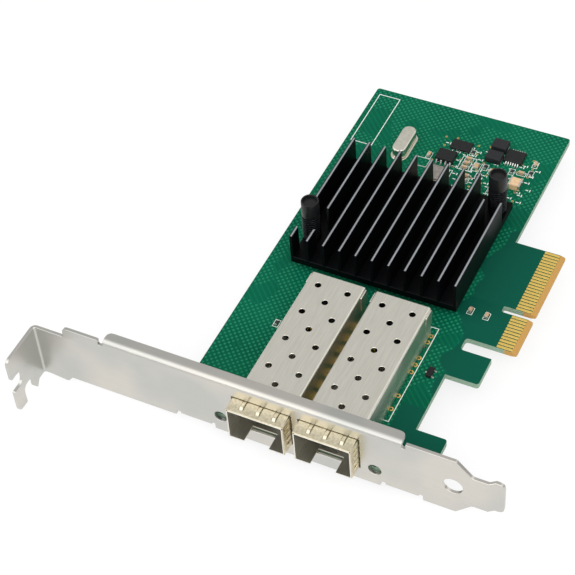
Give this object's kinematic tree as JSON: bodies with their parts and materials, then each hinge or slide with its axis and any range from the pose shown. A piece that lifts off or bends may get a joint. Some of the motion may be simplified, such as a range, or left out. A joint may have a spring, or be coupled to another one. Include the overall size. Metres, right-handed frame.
{
  "type": "network interface card",
  "caption": "Low-profile plug-in network card with a full-height slot bracket, optical transceiver cages, a finned heatsink on sprung push pins and gold edge contacts.",
  "frame": {"origin": "where the centre line of the edge connector's key notch meets the tip of the contact tongue, on the board's component face", "axes": "+X out of the edge connector, +Y from the slot bracket to the board's rear edge, +Z away from the component face"},
  "size_m": [0.12, 0.1321, 0.0243],
  "materials": {
    "solder_mask": "semi-gloss green laminate",
    "gold": "plated",
    "bracket_steel": "satin, zinc plated",
    "screw_steel": "bright",
    "cage_steel": "bright nickel plated",
    "spring_alloy": "nickel plated spring alloy",
    "socket_plastic": "moulded",
    "heatsink_black": "black anodised",
    "pad_grey": "soft",
    "chip_black": "moulded",
    "pin_black": "moulded",
    "spring_steel": "bright",
    "can_metal": "bright",
    "oscillator_metal": "satin",
    "capacitor_ceramic": "fired ceramic",
    "lens": "clear moulded"
  },
  "bodies": {
    "root": {"circuit_board": "solder_mask", "component_side_contacts": "gold", "solder_side_contacts": "gold", "bracket": "bracket_steel", "bracket_screws": "screw_steel", "heatsink": "heatsink_black", "thermal_pad": "pad_grey", "controller_chip": "chip_black", "front_push_pin": "pin_black", "rear_push_pin": "pin_black", "front_pin_spring": "spring_steel", "rear_pin_spring": "spring_steel", "crystal_can": "can_metal", "clock_oscillator": "oscillator_metal", "flash_chip": "chip_black", "power_controller_chip": "chip_black", "regulator_chip": "chip_black", "power_inductors": "chip_black", "output_capacitor": "capacitor_ceramic", "chip_capacitors": "capacitor_ceramic", "chip_resistors": "chip_black", "transistor": "chip_black", "status_leds": "lens", "left_cage_shell": "cage_steel", "left_cage_floor": "cage_steel", "left_spring_collar": "spring_alloy", "left_socket": "socket_plastic", "left_socket_contacts": "gold", "right_cage_shell": "cage_steel", "right_cage_floor": "cage_steel", "right_spring_collar": "spring_alloy", "right_socket": "socket_plastic", "right_socket_contacts": "gold"}
  },
  "joints": []
}
